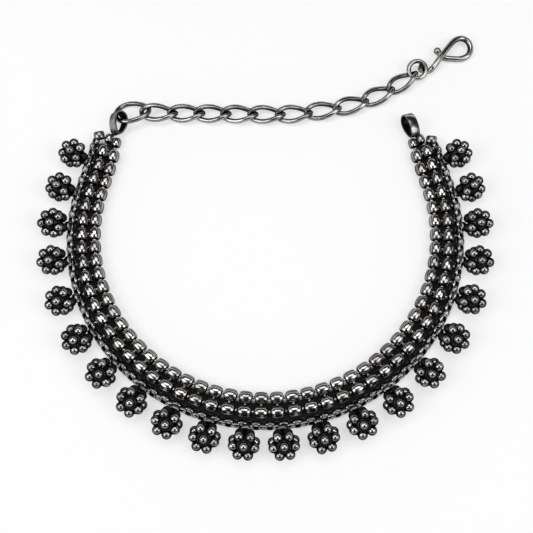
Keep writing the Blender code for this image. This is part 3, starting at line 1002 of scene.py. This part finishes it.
class CHOKER_OT_ring_and_hook(bpy.types.Operator):
    """Build the round ring and the bent wire hook with its ball."""

    bl_idname = "choker.ring_and_hook"
    bl_label = "Ring and hook"

    def execute(self, context):
        chain = context.scene.choker.chain
        material = oxidised_silver("hook_silver", 0.46, 5.0, brushed=0.5)
        size = chain.ring_outer
        bm = wire_oval(lie(*RING), size, size, chain.ring_wire, 0.15, steps=40, sides=14)
        finish_piece(bm, "round_ring", material, 60.0, "jump_ring")

        bm = new_part()
        places = stations_along(*hook_line(chain))
        pull(bm, first_ring(bm, 14, places[0]), places)
        bm.normal_update()

        # Painted shade on the inner side of the bow and on the wire's underside.
        def blackness(vert):
            inwards = Vector((HOOK_BOW.x - vert.co.x, HOOK_BOW.y - vert.co.y, 0.0))
            near = 1.0 if inwards.length < HOOK_BOW_REACH else 0.0
            inner = near * max(0.0, (vert.normal.dot(inwards.normalized()) - 0.35) / 0.65)
            return min(1.0, inner + max(0.0, -vert.normal.z) * 0.6)

        mark_oxide_and_shade(bm, bm.verts, blackness)
        rest_on_table(bm)
        finish_piece(bm, "wire_hook", material, 50.0, "hook")
        return {"FINISHED"}


# End loops.


def strip_loop(sizes, name, node, material, centre, heading, lean):
    """Bend a flat strip to a teardrop leaning on its edge; centre in mm, heading and lean in degrees."""
    heading, lean = math.radians(heading), math.radians(lean)
    forward = Vector((math.cos(heading), math.sin(heading), 0.0))
    left = Vector((-math.sin(heading), math.cos(heading), 0.0))
    across = left * math.cos(lean) + UP * math.sin(lean)
    half_length = (sizes.length - sizes.strip_thickness) / 2
    half_width = (sizes.width - sizes.strip_thickness) / 2

    def narrowed(along):
        return 1.0 - LOOP_NARROWING * (1.0 - along)

    steps = 36
    points = []
    for k in range(steps):
        turn = 2 * math.pi * k / steps
        along = -math.cos(turn)
        swing = half_width * math.sin(turn) * narrowed(along)
        points.append(forward * (half_length * along) + across * swing)
    bm = new_part()
    bend_strip(bm, points, forward.cross(across).normalized(), sizes.strip_width, sizes.strip_thickness)

    # The strip's inner face stays black; painted shade darkens the narrow end where it meets the band.
    def blackness(vert):
        u, v = vert.co.dot(forward) / half_length, vert.co.dot(across) / half_width
        inner = math.hypot(u, v / narrowed(max(-1.0, min(1.0, u)))) < 1.0
        return 0.9 if inner else max(0.0, -u - 0.55) * 1.2

    mark_oxide_and_shade(bm, bm.verts, blackness)
    edges = [e for e in bm.edges if len(e.link_faces) == 2 and e.calc_face_angle(0.0) > 1.0]
    round_off(bm, edges, sizes.rounding, 2)
    rest_on_table(bm)
    bmesh.ops.translate(bm, verts=bm.verts, vec=Vector((*centre, 0.0)) * MM)
    finish_piece(bm, name, material, 35.0, node)


class CHOKER_OT_end_loops(bpy.types.Operator):
    """Build the teardrop strip loops at the two ends of the band."""

    bl_idname = "choker.end_loops"
    bl_label = "End loops"

    def execute(self, context):
        sizes = context.scene.choker.loop
        material = oxidised_silver("loop_silver", 0.30, 6.0, brushed=0.7)
        strip_loop(sizes, "left_strip_loop", "end_loop_left", material, *LEFT_LOOP)
        strip_loop(sizes, "right_strip_loop", "end_loop_right", material, *RIGHT_LOOP)
        return {"FINISHED"}


# Studio.


def table_white(studio, band):
    """Make the table's white, lit from below, with painted shade under the band."""
    tree = ShaderTree("table_white")
    place = tree.add("ShaderNodeTexCoord", output=3)
    middle = FRAME_SHIFT + Vector((band.centre_x, band.centre_y, 0.0))
    around = tree.add("ShaderNodeVectorMath", {"operation": "SUBTRACT"}, {0: place, 1: middle})
    reach = tree.add("ShaderNodeVectorMath", {"operation": "LENGTH"}, {0: around}, output=1)
    y = tree.add("ShaderNodeSeparateXYZ", {}, {0: around}, output=1)
    start, steepness, spread = SHADE_SPRING
    sprung = ((y - start) * steepness).clipped() ** SPRING_POWER * spread
    end, steepness = SHADE_END
    # Painted shade: under the band the table turns near black and stops glowing.
    shade = tree.ramp((reach - sprung) * 10.0, *SHADE_STOPS) * ((end - y) * steepness).clipped()
    dimmer = tuple(c * 0.985 for c in studio.floor)
    pale = tree.mix(tree.cloudy(place, 9.0, 2.0), dimmer, tuple(studio.floor))
    tree.dress({
        "Base Color": tree.mix(shade, pale, (0.012, 0.012, 0.013)),
        "Roughness": 0.9,
        "Specular IOR Level": 0.1,
        "Emission Color": tree.mix(shade, (studio.glow,) * 3, (0.004, 0.004, 0.004)),
        "Emission Strength": 1.0,
    })
    return tree.material


def hang_soft_boxes(studio, back):
    """Hang three soft boxes; each has a side, its angle from the camera, and a width and height in degrees."""
    side = Vector((1.0, 0.0, 0.0))
    for name, turn, away, wide, high, power in (
        ("left_soft_box", -side, 40.0, 40.0, 34.0, studio.left_power),
        ("right_soft_box", side, 40.0, 34.0, 34.0, studio.right_power),
        ("back_soft_box", side.cross(-back), 34.0, 44.0, 26.0, studio.back_power),
    ):
        direction = back * math.cos(math.radians(away)) + turn * math.sin(math.radians(away))
        light = bpy.data.lights.new(name, "AREA")
        light.shape = "RECTANGLE"
        light.size = 2 * studio.box_distance * math.tan(math.radians(wide / 2))
        light.size_y = 2 * studio.box_distance * math.tan(math.radians(high / 2))
        light.energy = power * light.size * light.size_y * math.pi
        item = put(name, light)
        item.location = FRAME_SHIFT + direction * studio.box_distance
        item.rotation_euler = (-direction).to_track_quat("-Z", "Y").to_euler()


class CHOKER_OT_studio(bpy.types.Operator):
    """Set up the pale table, the low wall, the soft lights and the camera."""

    bl_idname = "choker.studio"
    bl_label = "Studio"

    def execute(self, context):
        settings = context.scene.choker
        studio = settings.studio
        bm = bmesh.new()
        bmesh.ops.create_grid(bm, x_segments=8, y_segments=8, size=studio.table_reach)
        bmesh.ops.translate(bm, verts=bm.verts, vec=(0.0, 0.0, -studio.table_gap))
        show(to_mesh(bm, "table"), "table", table_white(studio, settings.band))

        bm = bmesh.new()
        made = bmesh.ops.create_circle(bm, segments=48, radius=studio.wall_radius)
        rise = bmesh.ops.extrude_edge_only(bm, edges=loop_edges(made["verts"]))["geom"]
        top = [item for item in rise if isinstance(item, bmesh.types.BMVert)]
        bmesh.ops.translate(bm, verts=top, vec=(0.0, 0.0, studio.wall_height))
        glowing = ShaderTree("pale_wall")
        glowing.dress({
            "Base Color": (0.0, 0.0, 0.0),
            "Emission Color": (1.0, 0.99, 0.97),
            "Emission Strength": studio.wall_glow,
        })
        show(to_mesh(bm, "pale_wall"), "pale_wall", glowing.material)

        back = camera_point(studio).normalized()
        camera = put("camera", bpy.data.cameras.new("camera"))
        camera.data.lens = 50.0
        camera.data.sensor_width = 36.0
        camera.data.clip_start = 0.01
        camera.location = FRAME_SHIFT + back * studio.distance
        camera.rotation_euler = (-back).to_track_quat("-Z", "Y").to_euler()
        context.scene.camera = camera

        hang_soft_boxes(studio, back)
        world = bpy.data.worlds.new("studio_room")
        world.use_nodes = True
        room = world.node_tree.nodes["Background"]
        room.inputs["Color"].default_value = (0.96, 0.98, 1.0, 1.0)
        room.inputs["Strength"].default_value = studio.room_light
        context.scene.world = world
        context.scene.view_settings.view_transform = "Standard"
        return {"FINISHED"}


# Sidebar and registration.


class CHOKER_PT_sidebar(bpy.types.Panel):
    """Lists the choker's pieces and settings."""

    bl_label = "Choker"
    bl_idname = "CHOKER_PT_sidebar"
    bl_space_type = "VIEW_3D"
    bl_region_type = "UI"
    bl_category = "Choker"

    def draw(self, context):
        settings = context.scene.choker
        for key in ChokerSettings.__annotations__:
            group = getattr(settings, key)
            box = self.layout.box()
            for size in group.__annotations__:
                box.prop(group, size)
        for operator in OPERATORS:
            self.layout.operator(operator.bl_idname)


GROUPS = (
    ChokerBandSizes, ChokerTrimSizes, ChokerDropSizes, ChokerChainSizes, ChokerLoopSizes, ChokerFinish,
    ChokerStudio, ChokerSettings,
)
OPERATORS = (
    CHOKER_OT_bead_rows, CHOKER_OT_trim_chain, CHOKER_OT_ball_drops, CHOKER_OT_extension_chain,
    CHOKER_OT_ring_and_hook, CHOKER_OT_end_loops, CHOKER_OT_studio,
)


def register():
    """Register the classes and put the settings on the scene."""
    for item in (*GROUPS, *OPERATORS, CHOKER_PT_sidebar):
        bpy.utils.register_class(item)
    bpy.types.Scene.choker = PointerProperty(type=ChokerSettings)


def unregister():
    """Take the settings and the classes away again."""
    del bpy.types.Scene.choker
    for item in reversed((*GROUPS, *OPERATORS, CHOKER_PT_sidebar)):
        bpy.utils.unregister_class(item)


def main():
    """Build every piece and the studio."""
    register()
    for operator in OPERATORS:
        getattr(bpy.ops.choker, operator.bl_idname.removeprefix("choker."))()


if __name__ == "__main__":
    main()
